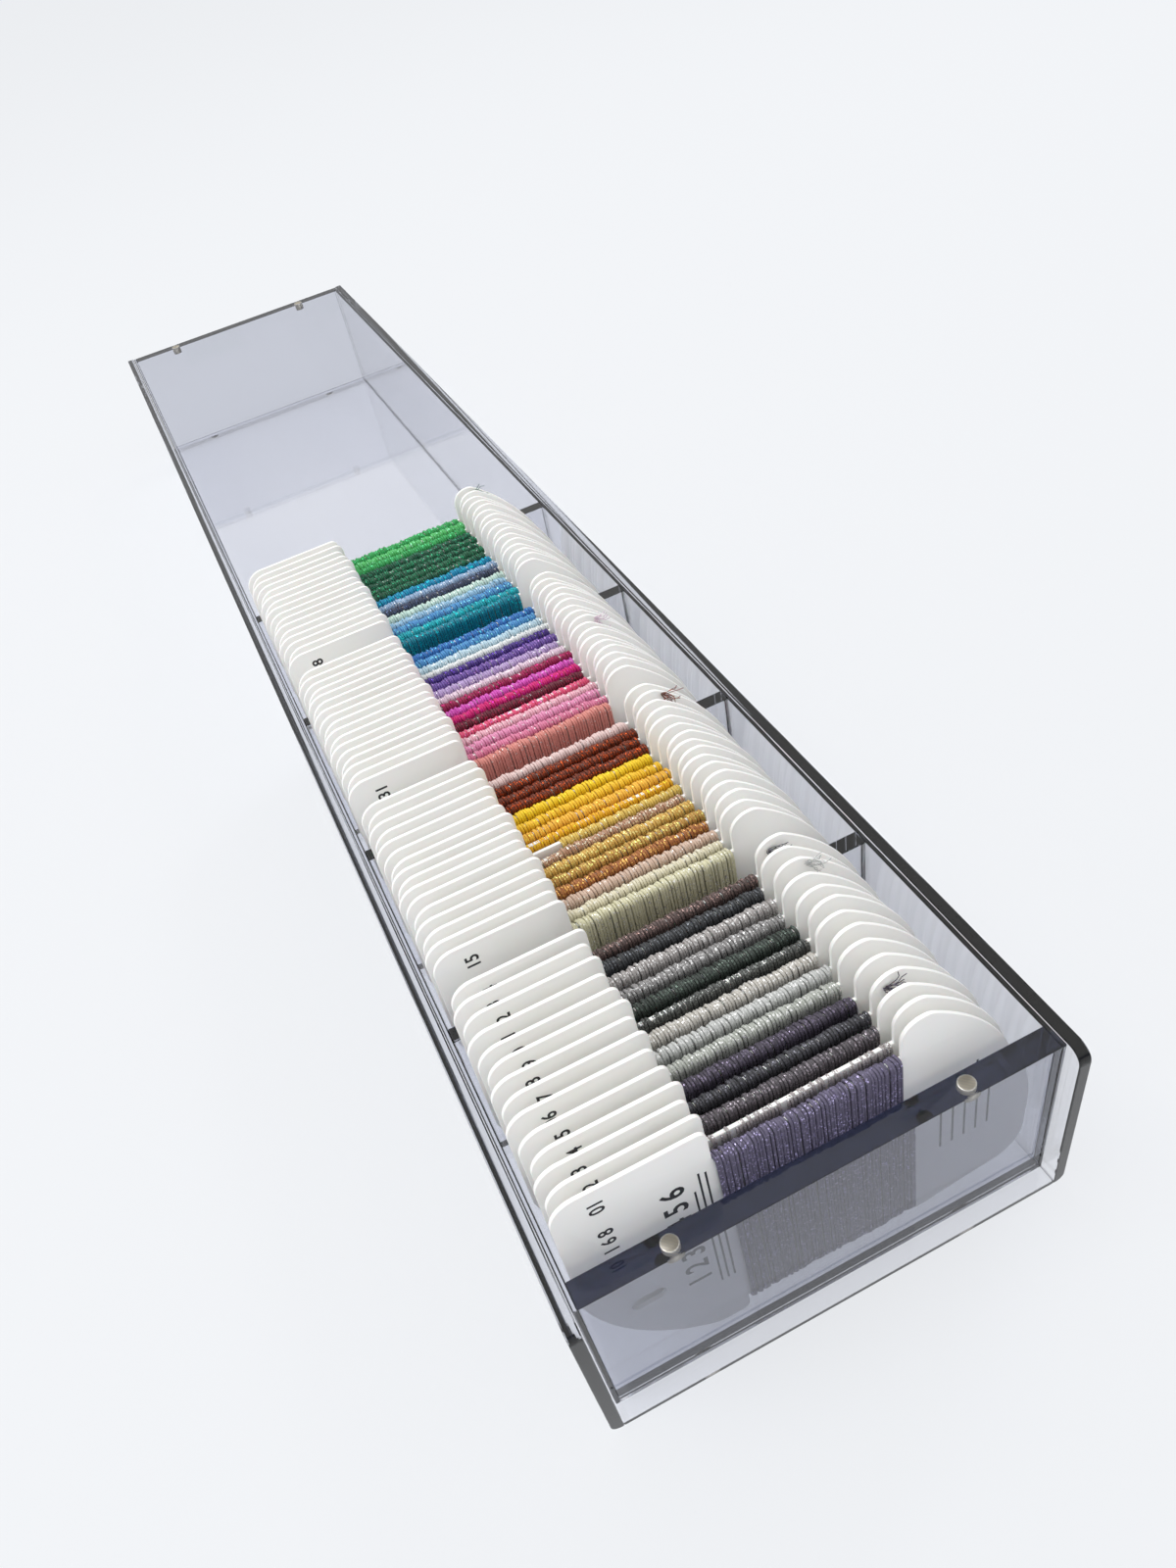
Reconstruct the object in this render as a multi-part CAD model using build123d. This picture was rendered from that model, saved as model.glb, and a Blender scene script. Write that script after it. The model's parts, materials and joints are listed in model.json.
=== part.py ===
from build123d import *

import math
import os

# Embroidery thread box. Millimetres, +Z up. The near end is at -Y.
# The origin is the middle of the underside, on the surface the box stands on.
#
# A clear tray stands in its upturned U-shaped cover. Four dividers part it into four
# short compartments, each packed with wound thread cards, and one long empty one.

# ---------------------------------------------------------------- thread card
CARD_THICKNESS = 1.0
CARD_HEIGHT = 67.0
HEAD_LENGTH = 34.0            # left tip to the neck
NECK_LENGTH = 43.0            # the stretch that the thread is wound on
TAIL_LENGTH = 29.7            # neck to the right tip
TOP_NOTCH = 10.0              # top of the head down to the neck
BASE_NOTCH = 5.5              # bottom of the head up to the neck
HEAD_SLANT = 0.6              # lean of the head's left side
HEAD_FOOT = 7.5               # flat bottom of the head
HEAD_SIDE = 31.0              # height of the head's nearly straight left side
HEAD_BULGE = 4.8              # how far the head's lower arc bows out
TAIL_SHOULDER = 7.0           # flat top of the tail
TAIL_TIP_HEIGHT = 24.0        # where the tail reaches furthest right
TAIL_BULGE = 6.2              # how far the tail's upper arc bows out
TAIL_RISE = 2.6               # bottom of the tail above the bottom of the head
TAIL_CORNER_RISE = 4.2        # lower right corner above the bottom of the tail
TAIL_SLANT = 1.1              # lean of the tail's right side
HEAD_CORNER_ROUND = 6.0
HEAD_NOTCH_ROUND = 2.2
HEAD_ARC_ROUND = 8.0
TAIL_NOTCH_ROUND = 5.0
TAIL_BASE_ROUND = 1.0
TAIL_ARC_ROUND = 4.0
TAIL_CORNER_ROUND = 8.5
HOLE_LENGTH = 8.0
HOLE_HEIGHT = 4.0
HOLE_FROM_LEFT = 13.0
HOLE_FROM_BASE = 26.4

# ---------------------------------------------------------------- card rows
CARD_TILT = 2.0               # degrees that the cards lean towards the far end
CARD_SEAT = 0.3               # under each card, and before and behind each row
CARD_LEFT_ROOM = 1.0          # least room from a card's left tip to the left wall
CARD_RIGHT_ROOM = 1.0         # least room from a card's right tip to the right wall
CARD_SHIFT = 1.3              # furthest that a card sits to the right of its fellows
ROW_ROOM = 6.5                # loose length in the fullest row
WINDING_MARGIN = 0.8          # bare neck at each end of a winding
WINDING_ROUNDNESS = 0.45      # round of a winding's edge, as a share of its thickness
ROOM_PATTERN = (1.0, 1.4, 0.9, 1.2, 1.6, 1.0)        # how unevenly a row is spread
SHIFT_PATTERN = (0.0, 0.7, 0.2, 1.0, 0.5)            # shares of CARD_SHIFT

# Each compartment's colour sets from near to far: the set's name, then the full
# thickness of the winding on each of its cards.
BAYS = (
    (
        ("slate", (3.6,)),
        ("charcoal", (2.4, 3.4, 3.4)),
        ("silver", (3.8, 3.7, 3.6, 3.8)),
        ("gunmetal", (2.8, 3.8)),
        ("steel", (3.6, 3.7)),
        ("black", (3.6, 3.4)),
    ),
    (
        ("pearl", (3.7,)),
        ("cream", (3.2, 3.4)),
        ("gold", (3.5, 3.4, 3.4, 3.0)),
        ("yellow", (3.0, 2.6, 3.4, 3.4, 3.5)),
        ("copper", (3.4, 3.4, 3.5)),
        ("blush", (3.4,)),
    ),
    (
        ("salmon", (3.6,)),
        ("pink", (3.3, 3.2, 3.1)),
        ("magenta", (2.8, 3.3, 3.3, 3.2, 3.2)),
        ("lilac", (3.1, 3.2, 3.3, 3.1)),
        ("ice", (2.8, 3.1, 3.4, 3.2)),
    ),
    (
        ("azure", (3.3, 3.3, 3.4, 3.2)),
        ("navy", (3.3, 3.5, 3.2, 3.4)),
        ("forest", (3.4, 3.4, 3.3, 3.4, 3.3)),
        ("emerald", (3.4, 3.5, 3.4)),
    ),
)

# ---------------------------------------------------------------- tray
TRAY_DEPTH = 48.5             # floor to rim, inside
TRAY_FLOOR = 3.0
TRAY_SIDE_WALL = 1.2
TRAY_END_WALL = 6.0
DIVIDER = 4.5
LONG_BAY = 280.0              # clear length of the empty far compartment

# ---------------------------------------------------------------- cover
COVER_PLATE = 2.0
COVER_SKIRT = 3.0
COVER_OVERHANG = 4.0          # cover past the tray's end walls
COVER_CLEARANCE = 0.2         # tray side wall to skirt
SKIRT_END_ROUND = 4.0         # upper corners of each skirt
SKIRT_EDGE_ROUND = 2.5        # lower outer edge of each skirt

# ---------------------------------------------------------------- magnets
MAGNET_DIAMETER = 4.0
TRAY_MAGNET_HEIGHT = 3.0
COVER_MAGNET_HEIGHT = 1.4
MAGNET_INSET = 21.0           # magnet centre to the tray's inner side face
MAGNET_GLUE_GAP = 0.05

# ---------------------------------------------------------------- derived places
CARD_LENGTH = HEAD_LENGTH + NECK_LENGTH + TAIL_LENGTH
NECK_HEIGHT = CARD_HEIGHT - TOP_NOTCH - BASE_NOTCH
TILT = math.radians(CARD_TILT)
LEAN = TRAY_DEPTH * math.tan(TILT)


def row_thicknesses(bay):
    """Return the winding thicknesses of one compartment, from near to far."""
    return [thickness for _, windings in bay for thickness in windings]


FULLEST_ROW = max(sum(row_thicknesses(bay)) for bay in BAYS) / math.cos(TILT)
CARD_BAY = FULLEST_ROW + ROW_ROOM + LEAN + 2 * CARD_SEAT
TRAY_INNER_WIDTH = CARD_LEFT_ROOM + CARD_LENGTH + CARD_SHIFT + CARD_RIGHT_ROOM
TRAY_INNER_LENGTH = len(BAYS) * (CARD_BAY + DIVIDER) + LONG_BAY
TRAY_LENGTH = TRAY_INNER_LENGTH + 2 * TRAY_END_WALL
TRAY_WIDTH = TRAY_INNER_WIDTH + 2 * TRAY_SIDE_WALL
TRAY_HEIGHT = TRAY_FLOOR + TRAY_DEPTH
COVER_INNER_WIDTH = TRAY_WIDTH + 2 * COVER_CLEARANCE
COVER_LENGTH = TRAY_LENGTH + 2 * COVER_OVERHANG
FLOOR_TOP = COVER_PLATE + TRAY_FLOOR
RIM = COVER_PLATE + TRAY_HEIGHT
END_WALL_Y = (TRAY_INNER_LENGTH + TRAY_END_WALL) / 2
MAGNET_X = TRAY_INNER_WIDTH / 2 - MAGNET_INSET
MAGNET_POCKET = MAGNET_DIAMETER + 2 * MAGNET_GLUE_GAP

os.makedirs("parts", exist_ok=True)


def save(name, solids):
    """Write one sub-part, made of one or more separate solids."""
    shape = solids[0] if len(solids) == 1 else Compound(children=list(solids))
    shape.label = name
    export_step(shape, f"parts/{name}.step")


def block(x_size, y_size, z_size, x=0.0, y=0.0, z=0.0):
    """Return a block centred on x and y that stands on z."""
    base = (Align.CENTER, Align.CENTER, Align.MIN)
    return Pos(x, y, z) * Box(x_size, y_size, z_size, align=base)


def disc(diameter, height, x, y, z):
    """Return an upright disc that stands on z."""
    base = (Align.CENTER, Align.CENTER, Align.MIN)
    return Pos(x, y, z) * Cylinder(diameter / 2, height, align=base)


# ---------------------------------------------------------------- cover
def magnet_places(side):
    """Return the two magnet centres at one end: side is -1 near, 1 far."""
    return [(x, side * END_WALL_Y) for x in (-MAGNET_X, MAGNET_X)]


def cover_plate():
    """Flat plate between the skirts, with four blind magnet pockets in its face."""
    plate = block(COVER_INNER_WIDTH, COVER_LENGTH, COVER_PLATE)
    pocket_floor = COVER_PLATE - COVER_MAGNET_HEIGHT
    for x, y in magnet_places(-1) + magnet_places(1):
        plate -= disc(MAGNET_POCKET, COVER_MAGNET_HEIGHT, x, y, pocket_floor)
    return plate


def cover_magnets():
    """Four discs, flush with the face of the plate."""
    z = COVER_PLATE - COVER_MAGNET_HEIGHT
    places = magnet_places(-1) + magnet_places(1)
    return [disc(MAGNET_DIAMETER, COVER_MAGNET_HEIGHT, x, y, z) for x, y in places]


def cover_skirt(side):
    """Full-height side of the cover, with rounded upper ends and lower outer edge."""
    x = side * (COVER_INNER_WIDTH + COVER_SKIRT) / 2
    skirt = block(COVER_SKIRT, COVER_LENGTH, RIM, x=x)
    top_corners = skirt.edges().filter_by(Axis.X).group_by(Axis.Z)[-1]
    skirt = fillet(top_corners, SKIRT_END_ROUND)
    low_edges = skirt.edges().filter_by(Axis.Y).group_by(Axis.Z)[0].sort_by(Axis.X)
    outer_edge = low_edges[-1] if side > 0 else low_edges[0]
    return fillet(outer_edge, SKIRT_EDGE_ROUND)


# ---------------------------------------------------------------- tray
def tray_floor():
    """Floor sheet, under the end walls and between the side walls."""
    return block(TRAY_INNER_WIDTH, TRAY_LENGTH, TRAY_FLOOR, z=COVER_PLATE)


def tray_side(side):
    """Thin side wall over the full height and length of the tray."""
    x = side * (TRAY_INNER_WIDTH + TRAY_SIDE_WALL) / 2
    return block(TRAY_SIDE_WALL, TRAY_LENGTH, TRAY_HEIGHT, x=x, z=COVER_PLATE)


def tray_end(side):
    """Thick end wall with two blind magnet pockets in its upper edge."""
    y = side * END_WALL_Y
    wall = block(TRAY_INNER_WIDTH, TRAY_END_WALL, TRAY_DEPTH, y=y, z=FLOOR_TOP)
    pocket_floor = RIM - TRAY_MAGNET_HEIGHT
    for x, magnet_y in magnet_places(side):
        wall -= disc(MAGNET_POCKET, TRAY_MAGNET_HEIGHT, x, magnet_y, pocket_floor)
    return wall


def tray_magnets():
    """Four discs, flush with the upper edges of the end walls."""
    z = RIM - TRAY_MAGNET_HEIGHT
    places = magnet_places(-1) + magnet_places(1)
    return [disc(MAGNET_DIAMETER, TRAY_MAGNET_HEIGHT, x, y, z) for x, y in places]


def bay_start(index):
    """Return the Y that compartment 0, 1, 2 and so on starts at."""
    return index * (CARD_BAY + DIVIDER) - TRAY_INNER_LENGTH / 2


def tray_divider(number):
    """Upright divider 1, 2, 3 and so on, as high as the tray's rim."""
    y = bay_start(number) - DIVIDER / 2
    return block(TRAY_INNER_WIDTH, DIVIDER, TRAY_DEPTH, y=y, z=FLOOR_TOP)


# ---------------------------------------------------------------- thread card
def rounded(face, rounds):
    """Round the face's corners: each of rounds is a corner point and its radius."""
    for point, radius in rounds:
        nearest = face.vertices().sort_by_distance(Vector(*point))[0]
        face = fillet(nearest, radius)
    return face


def outline_face(points, arc_start, bulge):
    """Close points into a face, with an arc from point arc_start to the next one."""
    edges = []
    for index, start in enumerate(points):
        end = points[(index + 1) % len(points)]
        if index == arc_start:
            edges.append(SagittaArc(start, end, bulge))
        else:
            edges.append(Line(start, end))
    return make_face(edges)


def card_head():
    """Left end of the card: flat on top, with a long arc below."""
    top_left = (HEAD_SLANT, CARD_HEIGHT)
    top_right = (HEAD_LENGTH, CARD_HEIGHT)
    base_right = (HEAD_LENGTH, 0)
    base_left = (HEAD_LENGTH - HEAD_FOOT, 0)
    left = (0, CARD_HEIGHT - HEAD_SIDE)
    face = outline_face((top_left, top_right, base_right, base_left, left), 3, HEAD_BULGE)
    rounds = (
        (top_left, HEAD_CORNER_ROUND),
        (top_right, HEAD_NOTCH_ROUND),
        (base_right, HEAD_NOTCH_ROUND),
        (base_left, HEAD_ARC_ROUND),
    )
    return rounded(face, rounds)


def card_tail():
    """Right end of the card: a long arc above, and a rounded lower corner."""
    start = HEAD_LENGTH + NECK_LENGTH
    top_left = (start, CARD_HEIGHT)
    shoulder = (start + TAIL_SHOULDER, CARD_HEIGHT)
    tip = (CARD_LENGTH, TAIL_TIP_HEIGHT)
    low_right = (CARD_LENGTH - TAIL_SLANT, TAIL_RISE + TAIL_CORNER_RISE)
    low_left = (start, TAIL_RISE)
    face = outline_face((top_left, shoulder, tip, low_right, low_left), 1, TAIL_BULGE)
    rounds = (
        (top_left, TAIL_NOTCH_ROUND),
        (shoulder, TAIL_ARC_ROUND),
        (low_right, TAIL_CORNER_ROUND),
        (low_left, TAIL_BASE_ROUND),
    )
    return rounded(face, rounds)


def card_outline():
    """Return the card's face, its left tip at x 0 and the head's bottom at y 0."""
    overlap = HEAD_FOOT / 2
    neck_size = (NECK_LENGTH + 2 * overlap, NECK_HEIGHT)
    neck = Rectangle(*neck_size, align=(Align.MIN, Align.MIN))
    hole = Pos(HOLE_FROM_LEFT, HOLE_FROM_BASE) * SlotOverall(HOLE_LENGTH, HOLE_HEIGHT)
    body = card_head() + Pos(HEAD_LENGTH - overlap, BASE_NOTCH) * neck + card_tail()
    return body - hole


def blank_card():
    """Flat plastic card with a winding neck and an oval hanging hole."""
    return extrude(Plane.XZ * card_outline(), CARD_THICKNESS / 2, both=True)


def winding(thickness):
    """Closed band of thread round the neck, its layers equally deep on all sides."""
    build_up = (thickness - CARD_THICKNESS) / 2
    outer = RectangleRounded(
        thickness, NECK_HEIGHT + 2 * build_up, WINDING_ROUNDNESS * thickness
    )
    section = outer - Rectangle(CARD_THICKNESS, NECK_HEIGHT)
    band = extrude(Plane.YZ * section, NECK_LENGTH - 2 * WINDING_MARGIN)
    return Pos(HEAD_LENGTH + WINDING_MARGIN, 0, BASE_NOTCH + NECK_HEIGHT / 2) * band


# ---------------------------------------------------------------- card rows
def row_places(bay, start):
    """Return the floor-level Y of each card's middle plane in one compartment."""
    depths = [thickness / math.cos(TILT) for thickness in row_thicknesses(bay)]
    weights = [ROOM_PATTERN[i % len(ROOM_PATTERN)] for i in range(len(depths) - 1)]
    room = CARD_BAY - LEAN - 2 * CARD_SEAT - sum(depths)
    unit_room = room / sum(weights)
    places = []
    front = start + CARD_SEAT
    for depth, weight in zip(depths, weights + [0.0]):
        places.append(front + depth / 2)
        front += depth + weight * unit_room
    print(f"{len(depths)} cards, least gap {unit_room * min(weights):.2f} mm")
    return places


def seated(solid, y, shift):
    """Tilt a card or winding and seat it on the floor at y."""
    x = CARD_LEFT_ROOM + shift - TRAY_INNER_WIDTH / 2
    return Pos(x, y, FLOOR_TOP + CARD_SEAT) * Rot(-CARD_TILT, 0, 0) * solid


def save_card_rows():
    """Write the cards and the windings of every colour set, one file for each."""
    card = blank_card()
    card_number = 0
    for index, bay in enumerate(BAYS):
        places = iter(row_places(bay, bay_start(index)))
        for name, windings in bay:
            cards = []
            threads = []
            for thickness in windings:
                y = next(places)
                share = SHIFT_PATTERN[card_number % len(SHIFT_PATTERN)]
                cards.append(seated(card, y, share * CARD_SHIFT))
                threads.append(seated(winding(thickness), y, share * CARD_SHIFT))
                card_number += 1
            save(f"cards_{name}", cards)
            save(f"thread_{name}", threads)


save("cover_plate", [cover_plate()])
save("cover_skirt_left", [cover_skirt(-1)])
save("cover_skirt_right", [cover_skirt(1)])
save("cover_magnets", cover_magnets())
save("tray_floor", [tray_floor()])
save("tray_side_left", [tray_side(-1)])
save("tray_side_right", [tray_side(1)])
save("tray_end_near", [tray_end(-1)])
save("tray_end_far", [tray_end(1)])
save("tray_magnets", tray_magnets())
for divider_number in range(1, len(BAYS) + 1):
    save(f"tray_divider_{divider_number}", [tray_divider(divider_number)])
save_card_rows()
print(f"card compartment {CARD_BAY:.1f} mm, tray {TRAY_WIDTH:.1f} x {TRAY_LENGTH:.1f} mm")
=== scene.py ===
"""Looks of the embroidery thread box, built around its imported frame."""

from __future__ import annotations

import json
import logging
import math
import random
from dataclasses import dataclass, field
from enum import Enum
from typing import Iterable, Sequence

import bmesh
import bpy
from mathutils import Euler, Matrix, Vector

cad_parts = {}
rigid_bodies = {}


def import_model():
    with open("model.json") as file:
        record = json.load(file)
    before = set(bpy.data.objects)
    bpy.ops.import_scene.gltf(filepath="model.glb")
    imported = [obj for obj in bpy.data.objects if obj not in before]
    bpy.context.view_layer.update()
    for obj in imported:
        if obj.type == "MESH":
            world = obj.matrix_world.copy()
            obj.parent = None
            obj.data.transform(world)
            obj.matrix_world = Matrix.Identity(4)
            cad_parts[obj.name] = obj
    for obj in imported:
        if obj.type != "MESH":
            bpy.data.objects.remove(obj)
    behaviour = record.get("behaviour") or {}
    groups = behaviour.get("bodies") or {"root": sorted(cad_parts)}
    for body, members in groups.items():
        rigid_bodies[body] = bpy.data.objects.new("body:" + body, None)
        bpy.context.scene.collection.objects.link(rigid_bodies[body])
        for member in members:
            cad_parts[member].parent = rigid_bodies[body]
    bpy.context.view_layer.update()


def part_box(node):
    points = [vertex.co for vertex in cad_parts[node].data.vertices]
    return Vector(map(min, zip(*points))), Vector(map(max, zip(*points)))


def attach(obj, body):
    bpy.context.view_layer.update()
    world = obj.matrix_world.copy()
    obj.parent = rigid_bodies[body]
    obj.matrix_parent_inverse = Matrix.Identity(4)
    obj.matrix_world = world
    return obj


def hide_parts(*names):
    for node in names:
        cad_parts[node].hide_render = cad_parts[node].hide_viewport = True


LOG = logging.getLogger("thread_box")
MM = 0.001
CARD_TILT = math.radians(2.0)
CARD_HEIGHT = 67.0 * MM
ALONG_CARD = Vector((0.0, math.sin(CARD_TILT), math.cos(CARD_TILT)))
OUT_OF_CARD = Vector((0.0, -math.cos(CARD_TILT), math.sin(CARD_TILT)))

Colour = tuple[float, float, float]


def linear(red: int, green: int, blue: int) -> Colour:
    """Turn a colour on the 0 to 255 scale into linear light.

    Args:
        red: Red, 0 to 255.
        green: Green, 0 to 255.
        blue: Blue, 0 to 255.

    Returns:
        The linear colour.
    """

    def channel(value: int) -> float:
        """Return one channel in linear light."""
        share = value / 255.0
        return share / 12.92 if share <= 0.04045 else ((share + 0.055) / 1.055) ** 2.4

    return channel(red), channel(green), channel(blue)


class Tone(Enum):
    """Thread colours."""

    SLATE = (104, 98, 122)
    ASH = (170, 162, 162)
    IRON = (88, 83, 88)
    COAL = (62, 62, 67)
    PLUM_BLACK = (72, 66, 80)
    SAGE_SILVER = (182, 186, 178)
    SILVER = (200, 202, 200)
    TAUPE_SILVER = (200, 196, 188)
    DARK_GREY = (78, 80, 78)
    GREEN_BLACK = (52, 60, 55)
    GREY = (146, 144, 144)
    PALE_GREY = (172, 167, 165)
    DARK_SLATE = (56, 58, 61)
    BROWN_BLACK = (92, 76, 73)
    OLIVE_PEARL = (222, 218, 184)
    CREAM = (232, 225, 198)
    BEIGE = (218, 190, 170)
    COPPER_TAN = (168, 104, 56)
    GOLD_TAN = (200, 152, 76)
    LIGHT_GOLD = (220, 176, 88)
    ROSE_TAN = (190, 146, 118)
    STRAW = (230, 196, 96)
    AMBER = (246, 186, 30)
    HONEY = (250, 192, 62)
    SUN = (250, 202, 40)
    LEMON = (252, 214, 30)
    CHESTNUT = (106, 40, 10)
    BLUSH = (238, 210, 206)
    SALMON = (226, 146, 136)
    PINK = (228, 132, 168)
    ORCHID_PINK = (238, 154, 194)
    LIGHT_PINK = (246, 190, 204)
    CORAL = (238, 90, 132)
    BURGUNDY = (104, 16, 44)
    MAGENTA = (220, 24, 122)
    ORCHID = (220, 82, 194)
    RASPBERRY = (156, 20, 78)
    PINK_WHITE = (238, 212, 230)
    LILAC = (190, 164, 214)
    PURPLE = (118, 88, 170)
    INDIGO = (70, 44, 128)
    WHITE = (238, 242, 242)
    ICE = (196, 224, 238)
    BLUE = (78, 148, 208)
    MID_BLUE = (52, 118, 194)
    TEAL = (0, 128, 152)
    CYAN = (20, 166, 182)
    SKY = (156, 200, 228)
    MINT = (206, 234, 224)
    NAVY = (54, 64, 90)
    POWDER = (156, 186, 220)
    TURQUOISE = (0, 138, 182)
    FOREST = (20, 84, 60)
    PINE = (24, 96, 66)
    EMERALD = (52, 168, 88)
    SPRING = (86, 196, 108)

    def shade(self) -> Colour:
        """Return the colour in linear light."""
        return linear(*self.value)


@dataclass(frozen=True)
class Wound:
    """How one card is wound: its colour, the share of wraps kept and the bare share of its neck."""

    tone: Tone
    cover: float = 1.0
    bare_start: float = 0.0


@dataclass(frozen=True)
class CardSet:
    """One colour set: its name in the frame, and its cards from near to far."""

    name: str
    cards: tuple[Wound, ...]
    glitter: float


def plain(*tones: Tone) -> tuple[Wound, ...]:
    """Return fully wound cards, one for each tone."""
    return tuple(Wound(tone) for tone in tones)


CARD_SETS = (
    CardSet("slate", plain(Tone.SLATE), 0.5),
    CardSet("charcoal", (Wound(Tone.ASH, 0.86), *plain(Tone.IRON, Tone.COAL)), 0.9),
    CardSet("silver", plain(Tone.PLUM_BLACK, Tone.SAGE_SILVER, Tone.SILVER, Tone.TAUPE_SILVER), 0.8),
    CardSet("gunmetal", plain(Tone.DARK_GREY, Tone.GREEN_BLACK), 1.0),
    CardSet("steel", plain(Tone.GREY, Tone.PALE_GREY), 0.8),
    CardSet("black", plain(Tone.DARK_SLATE, Tone.BROWN_BLACK), 0.8),
    CardSet("pearl", plain(Tone.OLIVE_PEARL), 0.5),
    CardSet("cream", plain(Tone.CREAM, Tone.BEIGE), 0.2),
    CardSet("gold", plain(Tone.COPPER_TAN, Tone.GOLD_TAN, Tone.LIGHT_GOLD, Tone.ROSE_TAN), 0.9),
    CardSet(
        "yellow",
        (Wound(Tone.STRAW, 1.0, 0.2), *plain(Tone.AMBER, Tone.HONEY, Tone.SUN, Tone.LEMON)),
        0.2,
    ),
    CardSet("copper", plain(Tone.CHESTNUT, Tone.CHESTNUT, Tone.CHESTNUT), 1.0),
    CardSet("blush", plain(Tone.BLUSH), 0.1),
    CardSet("salmon", plain(Tone.SALMON), 0.1),
    CardSet("pink", plain(Tone.PINK, Tone.ORCHID_PINK, Tone.LIGHT_PINK), 0.2),
    CardSet(
        "magenta",
        plain(Tone.CORAL, Tone.BURGUNDY, Tone.MAGENTA, Tone.ORCHID, Tone.RASPBERRY),
        0.3,
    ),
    CardSet("lilac", plain(Tone.PINK_WHITE, Tone.LILAC, Tone.PURPLE, Tone.INDIGO), 0.3),
    CardSet("ice", plain(Tone.WHITE, Tone.ICE, Tone.BLUE, Tone.MID_BLUE), 0.3),
    CardSet("azure", plain(Tone.TEAL, Tone.CYAN, Tone.BLUE, Tone.SKY), 0.4),
    CardSet("navy", plain(Tone.MINT, Tone.NAVY, Tone.POWDER, Tone.TURQUOISE), 0.4),
    CardSet("forest", plain(Tone.FOREST, Tone.PINE, Tone.FOREST, Tone.PINE, Tone.FOREST), 0.6),
    CardSet("emerald", plain(Tone.EMERALD, Tone.SPRING, Tone.EMERALD), 0.4),
)


# ---------------- finishes
class Shader:
    """A material's node tree, with short ways to add and join nodes."""

    def __init__(self, name: str) -> None:
        """Start an empty material.

        Args:
            name: The material's name.
        """
        self.material = bpy.data.materials.new(name)
        self.material.use_nodes = True
        self.tree = self.material.node_tree
        self.tree.nodes.clear()
        self.output = self.tree.nodes.new("ShaderNodeOutputMaterial")

    def add(self, kind: str, **values: object) -> bpy.types.Node:
        """Add a node and set its inputs by name.

        Args:
            kind: The node's type.
            **values: Input values, with underscores for the spaces in their names.

        Returns:
            The node.
        """
        node = self.tree.nodes.new(kind)
        for name, value in values.items():
            node.inputs[name.replace("_", " ")].default_value = value
        return node

    def join(self, source: bpy.types.NodeSocket, target: bpy.types.NodeSocket) -> None:
        """Link an output to an input."""
        self.tree.links.new(source, target)

    def object_place(self) -> bpy.types.NodeSocket:
        """Return the Object coordinates."""
        return self.tree.nodes.new("ShaderNodeTexCoord").outputs["Object"]

    def noise(self, scale: float, detail: float = 2.0) -> bpy.types.NodeSocket:
        """Return a noise factor on Object coordinates.

        Args:
            scale: Features per metre.
            detail: Octaves.

        Returns:
            The noise's factor output.
        """
        node = self.add("ShaderNodeTexNoise", Scale=scale, Detail=detail)
        self.join(self.object_place(), node.inputs["Vector"])
        return node.outputs["Fac"]

    def blend(self, factor: object, first: object, second: object, kind: str = "MIX") -> bpy.types.Node:
        """Add a colour mix.

        Args:
            factor: The share of the second colour, as an output or a number.
            first: The first colour, as an output or a value.
            second: The second colour, as an output or a value.
            kind: How the colours are mixed.

        Returns:
            The node.
        """
        node = self.tree.nodes.new("ShaderNodeMix")
        node.data_type = "RGBA"
        node.blend_type = kind
        for name, value in (("Factor", factor), ("A", first), ("B", second)):
            if isinstance(value, bpy.types.NodeSocket):
                self.join(value, node.inputs[name])
            else:
                node.inputs[name].default_value = value
        return node

    def ranged(
        self, value: bpy.types.NodeSocket, low: float, high: float, target: bpy.types.NodeSocket
    ) -> None:
        """Send a 0 to 1 value to an input, moved to another range.

        Args:
            value: The value's output.
            low: What 0 becomes.
            high: What 1 becomes.
            target: The input.
        """
        node = self.add("ShaderNodeMapRange", To_Min=low, To_Max=high)
        self.join(value, node.inputs["Value"])
        self.join(node.outputs["Result"], target)

    def finished(self, body: bpy.types.Node) -> bpy.types.Material:
        """Show a shader node on the surface and return the material."""
        self.join(body.outputs[0], self.output.inputs["Surface"])
        return self.material

    def bump(
        self, height: bpy.types.NodeSocket, strength: float, distance: float
    ) -> bpy.types.NodeSocket:
        """Return a bumped normal.

        Args:
            height: What drives the bump.
            strength: Its strength, 0 to 1.
            distance: Its depth in metres.

        Returns:
            The normal output.
        """
        node = self.add("ShaderNodeBump", Strength=strength, Distance=distance)
        self.join(height, node.inputs["Height"])
        return node.outputs["Normal"]


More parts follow.
